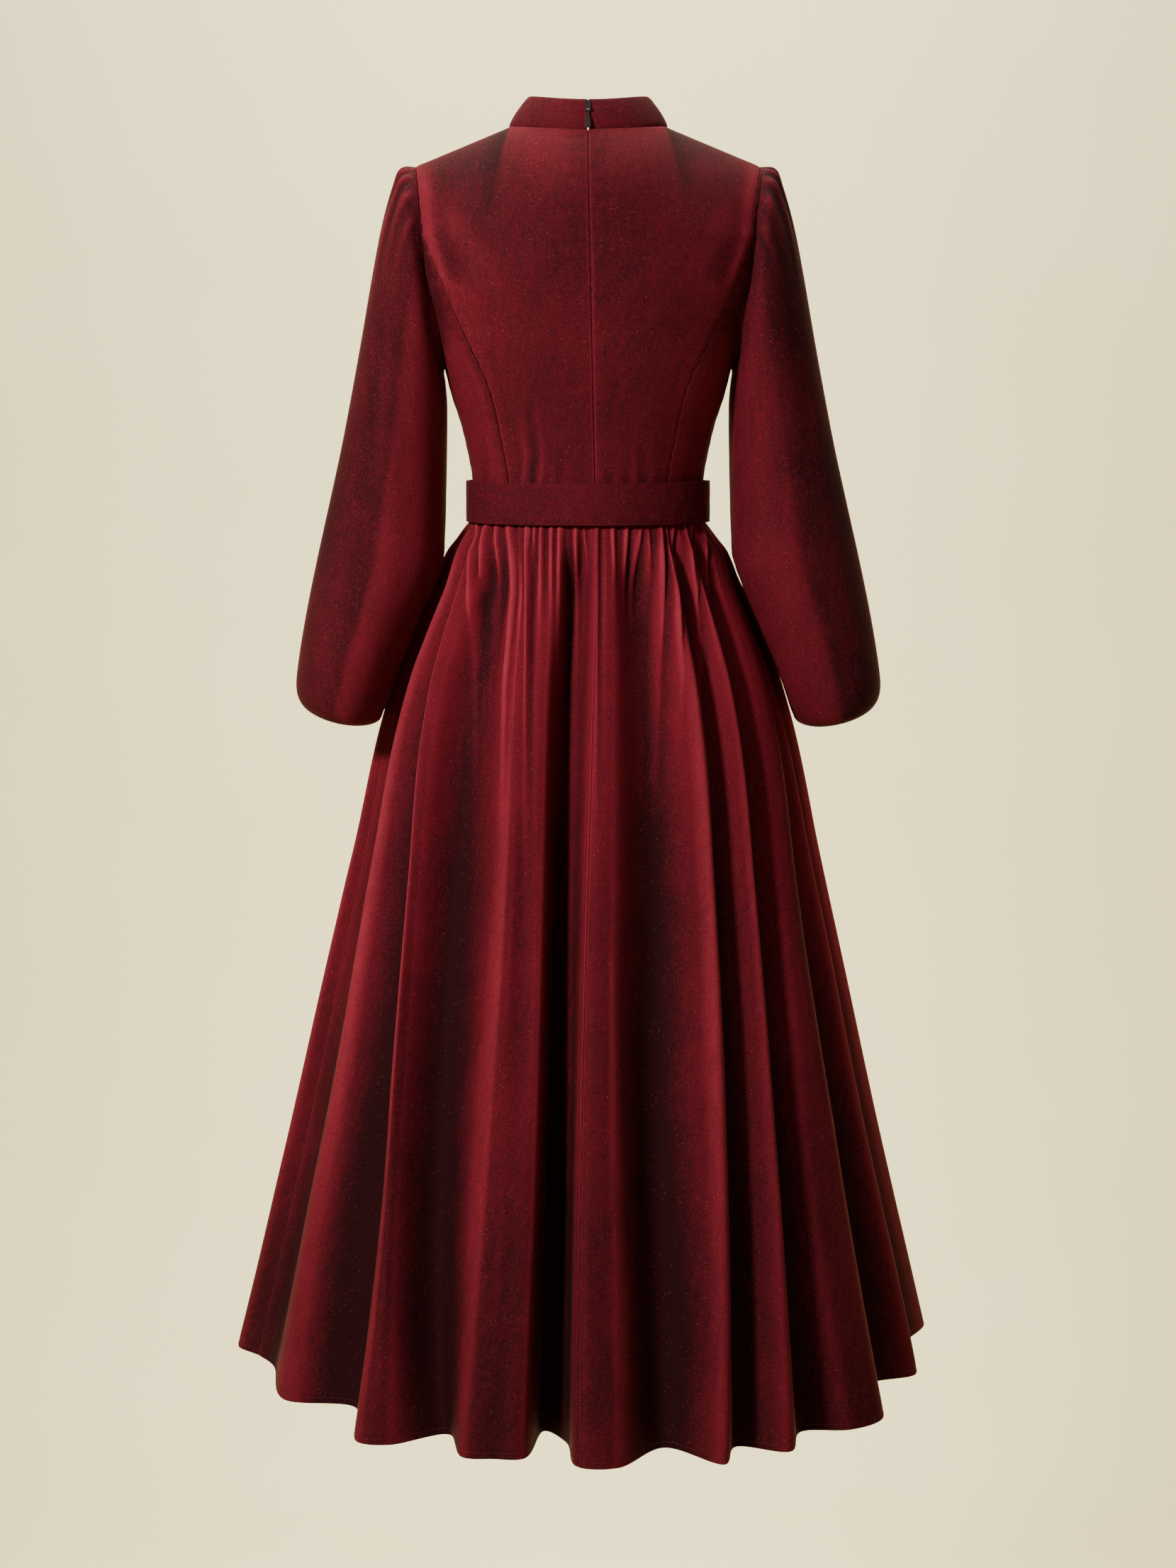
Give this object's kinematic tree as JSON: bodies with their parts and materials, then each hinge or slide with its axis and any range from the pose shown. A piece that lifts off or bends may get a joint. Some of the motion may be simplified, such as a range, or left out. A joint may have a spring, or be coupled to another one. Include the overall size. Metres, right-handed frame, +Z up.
{
  "type": "midi dress",
  "caption": "Long-sleeved velvet midi dress with a stand collar, back zip, curved back seams, belt and full gathered skirt, filled out as if worn.",
  "frame": {"origin": "on the centre plane at the height of the shoulder tips, where the wearer's shoulders carry the dress", "axes": "+Z up, +Y towards the back of the dress, +X towards the wearer's left"},
  "size_m": [0.789, 0.6689, 1.3799],
  "materials": {
    "velvet": "deep burgundy pile velvet",
    "zip_tape": "woven tape",
    "zip_metal": "gunmetal"
  },
  "bodies": {
    "dress": {"centre_back_left": "velvet", "centre_back_right": "velvet", "centre_front": "velvet", "side_back_left": "velvet", "side_back_right": "velvet", "side_front_left": "velvet", "side_front_right": "velvet", "collar": "velvet", "sleeve_left": "velvet", "sleeve_right": "velvet", "skirt_back_left": "velvet", "skirt_back_right": "velvet", "skirt_front": "velvet", "belt": "velvet", "zip_tape": "zip_tape", "zip_slider": "zip_metal"},
    "pull_tab": {"zip_pull": "zip_metal"}
  },
  "joints": [
    {"name": "pull_tab_lift", "type": "hinge", "parent": "dress", "child": "pull_tab", "pos_m": [0, 0.05762, 0.05194], "axis": [1, 0, 0], "range_deg": [0, 150]}
  ]
}
